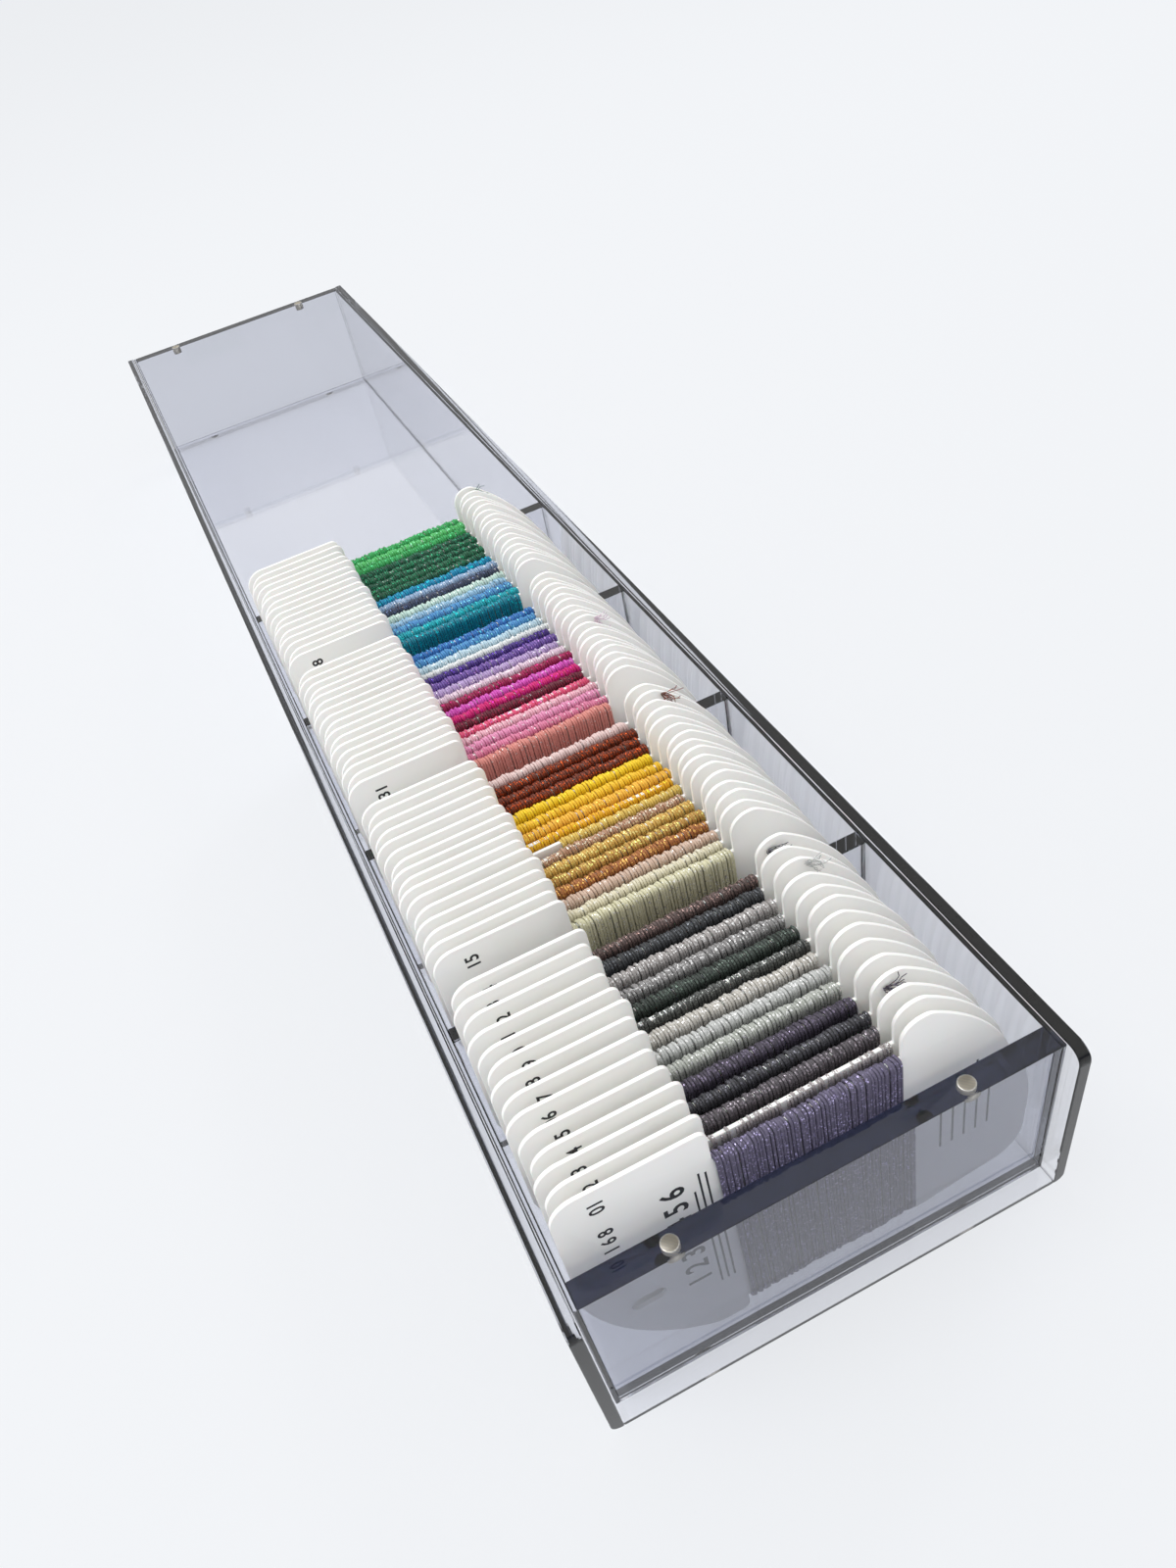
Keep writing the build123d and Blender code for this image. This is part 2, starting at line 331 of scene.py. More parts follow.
@dataclass(frozen=True)
class AcrylicFinish:
    """Clear polished acrylic with a faint blue tint, and saw marks on its upper faces if asked."""

    name: str
    tint: Colour = (0.90, 0.905, 0.93)
    absorb: Colour = (0.08, 0.12, 0.28)
    density: float = 16.0
    roughness: float = 0.015
    saw_marks: float = 0.0
    saw_mark_pitch: float = 0.9 * MM
    marked_tint: Colour = (0.42, 0.46, 0.66)
    shadow_tint: Colour = (0.93, 0.94, 0.97)

    def material(self) -> bpy.types.Material:
        """Make the material, which lets lamps reach what is behind it.

        Returns:
            The material.
        """
        shader = Shader(self.name)
        body = shader.add(
            "ShaderNodeBsdfPrincipled",
            Base_Color=(*self.tint, 1.0),
            Roughness=self.roughness,
            IOR=1.49,
            Transmission_Weight=1.0,
        )
        shader.join(shader.bump(shader.noise(18.0), 0.03, 0.2 * MM), body.inputs["Normal"])
        if self.saw_marks:
            self.add_saw_marks(shader, body)
        clear = shader.add("ShaderNodeBsdfTransparent", Color=(*self.shadow_tint, 1.0))
        path = shader.add("ShaderNodeLightPath")
        mix = shader.add("ShaderNodeMixShader")
        shader.join(path.outputs["Is Shadow Ray"], mix.inputs["Fac"])
        shader.join(body.outputs["BSDF"], mix.inputs[1])
        shader.join(clear.outputs["BSDF"], mix.inputs[2])
        shader.join(mix.outputs["Shader"], shader.output.inputs["Surface"])
        volume = shader.add(
            "ShaderNodeVolumeAbsorption", Color=(*self.absorb, 1.0), Density=self.density
        )
        shader.join(volume.outputs["Volume"], shader.output.inputs["Volume"])
        return shader.material

    def add_saw_marks(self, shader: Shader, body: bpy.types.Node) -> None:
        """Draw fine slanted saw marks across the faces that look up.

        Args:
            shader: The shader.
            body: Its Principled node.
        """
        scale = 2 * math.pi / (10 * self.saw_mark_pitch)
        bands = shader.add("ShaderNodeTexWave", Scale=scale, Distortion=0.6, Detail=1.0)
        bands.bands_direction = "DIAGONAL"
        shader.join(shader.object_place(), bands.inputs["Vector"])
        face = shader.tree.nodes.new("ShaderNodeNewGeometry")
        split = shader.tree.nodes.new("ShaderNodeSeparateXYZ")
        shader.join(face.outputs["True Normal"], split.inputs[0])
        sawn = shader.add("ShaderNodeMapRange", From_Min=0.7, From_Max=0.95, To_Max=self.saw_marks)
        shader.join(split.outputs["Z"], sawn.inputs["Value"])
        share = shader.tree.nodes.new("ShaderNodeMath")
        share.operation = "MULTIPLY"
        shader.join(bands.outputs["Fac"], share.inputs[0])
        shader.join(sawn.outputs["Result"], share.inputs[1])
        mix = shader.blend(share.outputs[0], (*self.tint, 1.0), (*self.marked_tint, 1.0))
        shader.join(mix.outputs["Result"], body.inputs["Base Color"])


@dataclass(frozen=True)
class CardFinish:
    """Smooth white card plastic."""

    name: str = "card_plastic"
    white: Colour = (0.90, 0.90, 0.885)
    warm: Colour = (0.87, 0.865, 0.83)

    def material(self) -> bpy.types.Material:
        """Make the material, with a faint warm mottle and a fine moulded skin.

        Returns:
            The material.
        """
        shader = Shader(self.name)
        body = shader.add(
            "ShaderNodeBsdfPrincipled", Roughness=0.36, IOR=1.5, Subsurface_Weight=0.08,
            Subsurface_Scale=0.8 * MM,
        )
        mix = shader.blend(shader.noise(45.0), (*self.white, 1.0), (*self.warm, 1.0))
        shader.join(mix.outputs["Result"], body.inputs["Base Color"])
        shader.join(shader.bump(shader.noise(2600.0), 0.06, 0.03 * MM), body.inputs["Normal"])
        return shader.finished(body)


@dataclass(frozen=True)
class InkFinish:
    """Black printing ink."""

    name: str = "card_ink"
    black: Colour = (0.012, 0.012, 0.014)

    def material(self) -> bpy.types.Material:
        """Make the material, slightly uneven in its shine.

        Returns:
            The material.
        """
        shader = Shader(self.name)
        body = shader.add("ShaderNodeBsdfPrincipled", Base_Color=(*self.black, 1.0), IOR=1.45)
        shader.ranged(shader.noise(900.0), 0.4, 0.6, body.inputs["Roughness"])
        return shader.finished(body)


@dataclass(frozen=True)
class MagnetFinish:
    """Pale nickel plating."""

    name: str = "magnet_nickel"
    plating: Colour = (0.74, 0.70, 0.60)

    def material(self) -> bpy.types.Material:
        """Make the material, finely brushed.

        Returns:
            The material.
        """
        shader = Shader(self.name)
        body = shader.add(
            "ShaderNodeBsdfPrincipled", Base_Color=(*self.plating, 1.0), Metallic=0.55, IOR=1.5
        )
        shader.ranged(shader.noise(1500.0), 0.3, 0.5, body.inputs["Roughness"])
        shader.join(shader.bump(shader.noise(2500.0), 0.1, 0.03 * MM), body.inputs["Normal"])
        return shader.finished(body)


@dataclass(frozen=True)
class ThreadFinish:
    """Twisted embroidery thread; glitter is how much metallic fleck runs in it."""

    name: str
    glitter: float
    twist_scale: float = 2600.0
    fleck_scale: float = 2900.0
    fleck_gain: float = 4.5
    most_flecks: float = 0.34
    # How much of the thread's colour the painted shade in the twist's grooves keeps.
    painted_groove_shade_share: float = 0.62

    def material(self) -> bpy.types.Material:
        """Make the material, which reads each card's colour from its mesh.

        Returns:
            The material.
        """
        shader = Shader(self.name)
        body = shader.add(
            "ShaderNodeBsdfPrincipled", IOR=1.5, Sheen_Weight=0.06, Sheen_Roughness=0.4
        )
        shade = shader.tree.nodes.new("ShaderNodeAttribute")
        shade.attribute_name = "thread_shade"
        colour = shade.outputs["Color"]
        fibre = shader.noise(self.twist_scale, 3.0)
        # Painted shade: where the fibre noise runs high, the thread's colour is multiplied down,
        # standing in for shade in the grooves of the twist.
        painted_groove_shade = (*(self.painted_groove_shade_share,) * 3, 1.0)
        darker = shader.blend(fibre, colour, painted_groove_shade, "MULTIPLY")

        cells = shader.add("ShaderNodeTexVoronoi", Scale=self.fleck_scale)
        shader.join(shader.object_place(), cells.inputs["Vector"])
        split = shader.tree.nodes.new("ShaderNodeSeparateColor")
        shader.join(cells.outputs["Color"], split.inputs["Color"])
        least = 1.0 - self.most_flecks * self.glitter
        fleck = shader.add("ShaderNodeMapRange", From_Min=least, From_Max=1.0)
        fleck.clamp = True
        shader.join(split.outputs["Red"], fleck.inputs["Value"])

        glint = shader.blend(1.0, colour, (*(self.fleck_gain,) * 3, 1.0), "MULTIPLY")
        glint.clamp_result = True
        brighter = shader.blend(
            fleck.outputs["Result"], darker.outputs["Result"], glint.outputs["Result"]
        )
        shader.join(brighter.outputs["Result"], body.inputs["Base Color"])

        shader.ranged(fleck.outputs["Result"], 0.55, 0.2, body.inputs["Roughness"])
        shader.ranged(fleck.outputs["Result"], 0.08 * self.glitter, 0.9, body.inputs["Metallic"])
        shader.join(shader.bump(fibre, 0.5, 0.12 * MM), body.inputs["Normal"])
        return shader.finished(body)


# ---------------- mesh helpers
def new_object(name: str, mesh: bpy.types.Mesh, material: bpy.types.Material) -> bpy.types.Object:
    """Link a mesh into the scene as a piece.

    Args:
        name: The piece's name.
        mesh: Its mesh, already in place.
        material: Its only material.

    Returns:
        The piece.
    """
    mesh.materials.clear()
    mesh.materials.append(material)
    return linked(name, mesh)


def evaluated_mesh(holder: bpy.types.Object) -> bpy.types.Mesh:
    """Turn a temporary object into a plain mesh, and remove the object.

    Args:
        holder: The object, linked in the scene.

    Returns:
        Its evaluated mesh.
    """
    graph = bpy.context.evaluated_depsgraph_get()
    mesh = bpy.data.meshes.new_from_object(holder.evaluated_get(graph), depsgraph=graph)
    bpy.data.objects.remove(holder)
    return mesh


def linked(name: str, data: bpy.types.ID) -> bpy.types.Object:
    """Return a new object in the scene that shows the data."""
    made = bpy.data.objects.new(name, data)
    bpy.context.scene.collection.objects.link(made)
    return made


def settle(piece: bpy.types.Object, body: str, nodes: Iterable[str] = ()) -> None:
    """Tie a finished piece to its body and the nodes it stands for.

    Args:
        piece: The piece.
        body: The CAD body that it moves with.
        nodes: The CAD nodes that it replaces.
    """
    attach(piece, body)
    if nodes:
        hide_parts(*nodes)
    LOG.info("%s: %d faces on %s", piece.name, len(piece.data.polygons), body)


def smooth_by_angle(bm: bmesh.types.BMesh, degrees: float) -> None:
    """Shade smooth, with edges above an angle kept sharp.

    Args:
        bm: The mesh, changed in place.
        degrees: The angle.
    """
    for face in bm.faces:
        face.smooth = True
    for edge in bm.edges:
        edge.smooth = edge.calc_face_angle(0.0) < math.radians(degrees)


def softened_copy(
    node: str, edge_round: float, name: str, shade_angle: float = 35.0
) -> bpy.types.Mesh:
    """Copy a CAD node's mesh, weld it and round its sharp edges.

    Args:
        node: The CAD node.
        edge_round: The size of the rounding, in metres.
        name: The new mesh's name.
        shade_angle: Edges sharper than this many degrees stay sharp in the shading.

    Returns:
        The mesh.
    """
    bm = bmesh.new()
    bm.from_mesh(bpy.data.objects[node].data)
    bmesh.ops.remove_doubles(bm, verts=bm.verts, dist=1e-6)
    bmesh.ops.dissolve_limit(bm, angle_limit=math.radians(0.4), verts=bm.verts, edges=bm.edges)
    sharp = [e for e in bm.edges if e.is_manifold and e.calc_face_angle(0.0) > math.radians(40.0)]
    bmesh.ops.bevel(
        bm, geom=sharp, offset=edge_round, segments=2, profile=0.5, affect="EDGES", clamp_overlap=True
    )
    smooth_by_angle(bm, shade_angle)
    mesh = bpy.data.meshes.new(name)
    bm.to_mesh(mesh)
    bm.free()
    return mesh


@dataclass(frozen=True)
class Extent:
    """The box round one separate solid of a node."""

    low: Vector
    high: Vector

    @property
    def centre(self) -> Vector:
        """Return the middle of the box."""
        return (self.low + self.high) / 2

    @property
    def size(self) -> Vector:
        """Return the box's size."""
        return self.high - self.low


def solids_of(node: str) -> list[Extent]:
    """Return the boxes of a node's separate solids, from near to far.

    Args:
        node: The CAD node.

    Returns:
        One extent for each solid, sorted along Y.
    """
    bm = bmesh.new()
    bm.from_mesh(bpy.data.objects[node].data)
    bmesh.ops.remove_doubles(bm, verts=bm.verts, dist=1e-6)
    left = set(bm.verts)
    found: list[Extent] = []
    while left:
        pending = [left.pop()]
        places: list[Vector] = []
        while pending:
            vertex = pending.pop()
            places.append(vertex.co.copy())
            for edge in vertex.link_edges:
                other = edge.other_vert(vertex)
                if other in left:
                    left.remove(other)
                    pending.append(other)
        low = Vector(min(p[i] for p in places) for i in range(3))
        high = Vector(max(p[i] for p in places) for i in range(3))
        found.append(Extent(low, high))
    bm.free()
    return sorted(found, key=lambda extent: extent.centre.y)


# ---------------- clear box
@dataclass
class ClearSheets:
    """The acrylic sheets of one body, each a polished sheet with fine edge chamfers."""

    body: str
    finish: AcrylicFinish
    plain_sheets: tuple[str, ...]
    shaped_sheets: tuple[str, ...] = ()
    chamfer: float = 0.30 * MM
    weld: float = 0.05 * MM
    lift: float = 0.0
    flat_angle: float = 2.0
    glued_sides: frozenset[str] = frozenset()
    glued_feet: frozenset[str] = frozenset()

    def sheet_mesh(self, node: str) -> bpy.types.Mesh:
        """Return a chamfered sheet that reaches a hair into the sheets it is glued to.

        Args:
            node: The CAD node that the sheet stands for.

        Returns:
            The mesh.
        """
        low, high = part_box(node)
        if node in self.glued_sides:
            low.x -= self.weld
            high.x += self.weld
        low.z += -self.weld if node in self.glued_feet else self.lift
        size = high - low
        bm = bmesh.new()
        bmesh.ops.create_cube(bm, size=1.0)
        bmesh.ops.scale(bm, vec=size, verts=bm.verts)
        bmesh.ops.translate(bm, vec=(low + high) / 2, verts=bm.verts)
        chamfer = min(self.chamfer, min(size) / 4)
        bmesh.ops.bevel(bm, geom=bm.edges, offset=chamfer, segments=2, profile=0.5, affect="EDGES")
        smooth_by_angle(bm, self.flat_angle)
        mesh = bpy.data.meshes.new(f"{node}_sheet")
        bm.to_mesh(mesh)
        bm.free()
        return mesh

    def build(self) -> None:
        """Make every sheet and tie it to the body."""
        material = self.finish.material()
        for node in self.plain_sheets:
            piece = new_object(f"{node}_sheet", self.sheet_mesh(node), material)
            settle(piece, self.body, [node])
        for node in self.shaped_sheets:
            mesh = softened_copy(node, self.chamfer, f"{node}_sheet", self.flat_angle)
            settle(new_object(f"{node}_sheet", mesh, material), self.body, [node])


def clear_sheets() -> tuple[ClearSheets, ...]:
    """Group the box's sheets.

    Returns:
        The groups by body and finish, in the order they are built.
    """
    dividers = tuple(f"tray_divider_{number}" for number in range(1, 5))
    ends = ("tray_end_near", "tray_end_far")
    pale = AcrylicFinish("edge_clear_acrylic", density=4.0)
    sawn = AcrylicFinish("sawn_acrylic", saw_marks=0.8, density=60.0)
    return (
        ClearSheets(
            body="cover",
            finish=AcrylicFinish("cover_acrylic"),
            plain_sheets=("cover_plate",),
            glued_sides=frozenset({"cover_plate"}),
        ),
        ClearSheets(
            body="cover",
            finish=pale,
            plain_sheets=(),
            shaped_sheets=("cover_skirt_left", "cover_skirt_right"),
        ),
        ClearSheets(
            body="tray",
            finish=AcrylicFinish("tray_acrylic"),
            plain_sheets=("tray_floor",),
            lift=0.05 * MM,
            glued_sides=frozenset({"tray_floor"}),
        ),
        ClearSheets(
            body="tray",
            finish=pale,
            plain_sheets=("tray_side_left", "tray_side_right", *dividers),
            lift=0.05 * MM,
            glued_sides=frozenset(dividers),
            glued_feet=frozenset(dividers),
        ),
        ClearSheets(
            body="tray",
            finish=sawn,
            plain_sheets=ends,
            glued_sides=frozenset(ends),
            glued_feet=frozenset(ends),
        ),
    )


@dataclass
class Magnets:
    """The discs set into one body."""

    body: str
    node: str
    edge_round: float = 0.25 * MM

    def build(self, material: bpy.types.Material) -> None:
        """Make the discs with softly rounded rims.

        Args:
            material: The plating.
        """
        mesh = softened_copy(self.node, self.edge_round, f"{self.node}_discs")
        settle(new_object(f"{self.node}_discs", mesh, material), self.body, [self.node])


# ---------------- wound thread
class ThreadWinder:
    """Geometry nodes that lay slanted wraps of thread round every card's neck."""

    SIZES = ("Neck Length", "Pitch", "Strand Radius", "Loop Height", "Loop Depth", "Slant", "Lumps")

    def __init__(self) -> None:
        """Build the node tree once, for every card set."""
        self.tree = bpy.data.node_groups.new("thread_winder", "GeometryNodeTree")
        self.tree.is_modifier = True
        interface = self.tree.interface
        interface.new_socket("Cards", in_out="INPUT", socket_type="NodeSocketGeometry")
        for name in self.SIZES:
            interface.new_socket(name, in_out="INPUT", socket_type="NodeSocketFloat")
        interface.new_socket("Seed", in_out="INPUT", socket_type="NodeSocketInt")
        interface.new_socket("Thread", in_out="INPUT", socket_type="NodeSocketMaterial")
        interface.new_socket("Windings", in_out="OUTPUT", socket_type="NodeSocketGeometry")
        self.start = self.tree.nodes.new("NodeGroupInput")
        self.build()

    def node(self, kind: str, **links: object) -> bpy.types.Node:
        """Add a node; each keyword is an input's name, with a value or an output.

        Args:
            kind: The node's type.
            **links: Input names, with underscores for spaces.

        Returns:
            The node.
        """
        node = self.tree.nodes.new(kind)
        for name, value in links.items():
            self.feed(node.inputs[name.replace("_", " ")], value)
        return node

    def feed(self, socket: bpy.types.NodeSocket, value: object) -> None:
        """Link an output to a socket, or set the socket's value.

        Args:
            socket: The input.
            value: An output, or a plain value.
        """
        if isinstance(value, bpy.types.NodeSocket):
            self.tree.links.new(value, socket)
        else:
            socket.default_value = value

    def maths(self, operation: str, first: object, second: object) -> bpy.types.NodeSocket:
        """Return the result of a Math node.

        Args:
            operation: What it does.
            first: Its first number or output.
            second: Its second number or output.

        Returns:
            The value output.
        """
        node = self.tree.nodes.new("ShaderNodeMath")
        node.operation = operation
        self.feed(node.inputs[0], first)
        self.feed(node.inputs[1], second)
        return node.outputs[0]

    def varied(self, factor: bpy.types.NodeSocket, least: float, span: float) -> bpy.types.NodeSocket:
        """Return a number that grows from a least value as the factor goes from 0 to 1."""
        return self.maths("ADD", self.maths("MULTIPLY", factor, span), least)

    def vector(self, x: object, y: object, z: object) -> bpy.types.NodeSocket:
        """Return a vector joined from three numbers."""
        return self.node("ShaderNodeCombineXYZ", X=x, Y=y, Z=z).outputs[0]

    def chance(self, low: float, high: float, seed_step: int) -> bpy.types.NodeSocket:
        """Return a random number for each wrap.

        Args:
            low: The least value.
            high: The greatest value.
            seed_step: What is added to the tree's seed.

        Returns:
            The value output.
        """
        node = self.tree.nodes.new("FunctionNodeRandomValue")
        node.data_type = "FLOAT"
        node.inputs[2].default_value = low
        node.inputs[3].default_value = high
        self.feed(node.inputs["Seed"], self.maths("ADD", self.start.outputs["Seed"], seed_step))
        return node.outputs[1]

    def named(self, name: str) -> bpy.types.NodeSocket:
        """Return a number that the cards' points carry.

        Args:
            name: The attribute's name.

        Returns:
            The attribute's output.
        """
        node = self.tree.nodes.new("GeometryNodeInputNamedAttribute")
        node.data_type = "FLOAT"
        node.inputs["Name"].default_value = name
        return node.outputs["Attribute"]

    def wrap_places(self) -> bpy.types.NodeSocket:
        """Return a point for every wrap, with the bare stretches left out.

        Returns:
            The geometry output.
        """
        sizes = self.start.outputs
        count = self.maths("ADD", self.maths("DIVIDE", sizes["Neck Length"], sizes["Pitch"]), 1.0)
        begin = self.vector(self.maths("MULTIPLY", sizes["Neck Length"], -0.5), 0.0, 0.0)
        row = self.node(
            "GeometryNodeMeshLine",
            Count=count,
            Start_Location=begin,
            Offset=self.vector(sizes["Pitch"], 0.0, 0.0),
        )
        index = self.tree.nodes.new("GeometryNodeInputIndex").outputs[0]
        along = self.tree.nodes.new("GeometryNodeStoreNamedAttribute")
        along.data_type = "FLOAT"
        along.inputs["Name"].default_value = "along"
        self.feed(along.inputs["Geometry"], row.outputs["Mesh"])
        self.feed(along.inputs["Value"], self.maths("DIVIDE", index, count))
        rows = self.node(
            "GeometryNodeInstanceOnPoints",
            Points=self.start.outputs["Cards"],
            Instance=along.outputs["Geometry"],
        )
        points = self.node("GeometryNodeRealizeInstances", Geometry=rows.outputs[0]).outputs[0]
        too_early = self.maths("LESS_THAN", self.named("along"), self.named("bare_start"))
        too_sparse = self.maths("GREATER_THAN", self.chance(0.0, 1.0, 1), self.named("cover"))
        unwanted = self.tree.nodes.new("GeometryNodeDeleteGeometry")
        self.feed(unwanted.inputs["Geometry"], points)
        self.feed(unwanted.inputs["Selection"], self.maths("MAXIMUM", too_early, too_sparse))
        jitter = self.maths("MULTIPLY", self.chance(-0.22, 0.22, 2), sizes["Pitch"])
        return self.node(
            "GeometryNodeSetPosition",
            Geometry=unwanted.outputs["Geometry"],
            Offset=self.vector(jitter, 0.0, 0.0),
        ).outputs[0]

    def loop(self) -> bpy.types.NodeSocket:
        """Return one wrap: a tall rounded loop in the YZ plane.

        Returns:
            The geometry output.
        """
        sizes = self.start.outputs
        frame = self.node(
            "GeometryNodeCurvePrimitiveQuadrilateral",
            Width=sizes["Loop Height"],
            Height=sizes["Loop Depth"],
        )
        rounded = self.tree.nodes.new("GeometryNodeFilletCurve")
        rounded.mode = "POLY"
        rounded.inputs["Count"].default_value = 4
        self.feed(rounded.inputs["Curve"], frame.outputs["Curve"])
        self.feed(rounded.inputs["Radius"], self.maths("MULTIPLY", sizes["Loop Depth"], 0.45))
        upright = self.node("GeometryNodeTransform", Geometry=rounded.outputs[0])
        upright.inputs["Rotation"].default_value = Euler((0.0, math.pi / 2, 0.0))
        return upright.outputs[0]

    def build(self) -> None:
        """Lay the loops on their places and turn them into thread."""
        sizes = self.start.outputs
        turn = self.maths("MULTIPLY", sizes["Slant"], self.chance(0.3, 1.7, 3))
        lumps = self.node("ShaderNodeTexNoise", Scale=sizes["Lumps"], Detail=1.0)
        swell = self.varied(lumps.outputs["Fac"], 0.84, 0.36)
        depth = self.maths("MULTIPLY", self.named("depth_share"), self.chance(0.86, 1.0, 4))
        depth = self.maths("MULTIPLY", depth, swell)
        rise = self.varied(lumps.outputs["Fac"], 0.98, 0.03)
        height = self.maths("MULTIPLY", self.named("height_share"), self.chance(0.975, 1.0, 5))
        height = self.maths("MULTIPLY", height, rise)
        loops = self.node(
            "GeometryNodeInstanceOnPoints",
            Points=self.wrap_places(),
            Instance=self.loop(),
            Rotation=self.vector(-CARD_TILT, 0.0, turn),
            Scale=self.vector(1.0, depth, height),
        )
        lines = self.node("GeometryNodeRealizeInstances", Geometry=loops.outputs[0])
        profile = self.node("GeometryNodeCurvePrimitiveCircle", Radius=sizes["Strand Radius"])
        profile.inputs["Resolution"].default_value = 5
        tubes = self.node(
            "GeometryNodeCurveToMesh",
            Curve=lines.outputs[0],
            Profile_Curve=profile.outputs["Curve"],
        )
        smooth = self.node("GeometryNodeSetShadeSmooth", Geometry=tubes.outputs[0])
        whole = self.node("GeometryNodeRealizeInstances", Geometry=smooth.outputs[0])
        dressed = self.node(
            "GeometryNodeSetMaterial",
            Geometry=whole.outputs[0],
            Material=self.start.outputs["Thread"],
        )
        end = self.tree.nodes.new("NodeGroupOutput")
        self.feed(end.inputs["Windings"], dressed.outputs[0])

    def wind(
        self,
        points: bpy.types.Mesh,
        sizes: dict[str, float],
        seed: int,
        material: bpy.types.Material,
    ) -> bpy.types.Mesh:
        """Wind thread round a set of cards.

        Args:
            points: One vertex for each card, with its shares and colour.
            sizes: A value for every name in SIZES, in metres or radians.
            seed: The random seed.
            material: The thread's material.

        Returns:
            The plain mesh of all the windings.
        """
        holder = linked("winding_points", points)
        modifier = holder.modifiers.new("winder", "NODES")
        modifier.node_group = self.tree
        values: dict[str, object] = {**sizes, "Seed": seed, "Thread": material}
        for item in self.tree.interface.items_tree:
            if item.name in values and item.in_out == "INPUT":
                modifier[item.identifier] = values[item.name]
        return evaluated_mesh(holder)


# ---------------- printed marks
@dataclass(frozen=True)
class CardFace:
    """The front face of one standing card, with x from the left tip and s up the card."""

    extent: Extent
    ink_lift: float = 0.02 * MM

    def place(self, x: float, s: float) -> Vector:
        """Return a point just in front of the card's face.

        Args:
            x: Distance from the left tip.
            s: Distance up the card.

        Returns:
            The point in the frame.
        """
        centre = self.extent.centre
        middle = Vector((self.extent.low.x + x, centre.y, centre.z))
        thickness = (self.extent.size.y - CARD_HEIGHT * math.sin(CARD_TILT)) / math.cos(CARD_TILT)
        outward = thickness / 2 + self.ink_lift
        return middle + ALONG_CARD * (s - CARD_HEIGHT / 2) + OUT_OF_CARD * outward

    def upward(self, x: float, s: float) -> Matrix:
        """Return a placement for flat art that reads up the card."""
        turn = Matrix((ALONG_CARD, Vector((-1.0, 0.0, 0.0)), OUT_OF_CARD)).transposed().to_4x4()
        return Matrix.Translation(self.place(x, s)) @ turn


@dataclass
class PrintedMarks:
    """Plain numerals and ruled bars on the cards of one set."""

    ink: bpy.types.Material
    film: float = 0.012 * MM
    parts: bmesh.types.BMesh = field(default_factory=bmesh.new)

    def numeral(self, text: str, size: float, place: Matrix) -> None:
        """Add a number.

        Args:
            text: Its digits.
            size: Its height in metres.
            place: Where its lower left corner goes.
        """
        curve = bpy.data.curves.new("numeral", "FONT")
        curve.body = text
        curve.size = size
        curve.extrude = self.film / 2
        curve.resolution_u = 3
        curve.offset = size * 0.018
        mesh = evaluated_mesh(linked("numeral", curve))
        mesh.transform(place)
        self.parts.from_mesh(mesh)
        bpy.data.meshes.remove(mesh)

    def bar(self, length: float, width: float, place: Matrix) -> None:
        """Add a ruled bar.

        Args:
            length: Its length, along the reading direction.
            width: Its width.
            place: Where its lower left corner goes.
        """
        made = bmesh.ops.create_cube(self.parts, size=1.0)["verts"]
        bmesh.ops.scale(self.parts, vec=(length, width, self.film), verts=made)
        bmesh.ops.translate(self.parts, vec=(length / 2, width / 2, 0.0), verts=made)
        bmesh.ops.transform(self.parts, matrix=place, verts=made)

    def piece(self, name: str) -> bpy.types.Object:
        """Make one piece of all the marks.

        Args:
            name: The piece's name.

        Returns:
            The piece.
        """
        mesh = bpy.data.meshes.new(name)
        self.parts.to_mesh(mesh)
        self.parts.free()
        return new_object(name, mesh, self.ink)


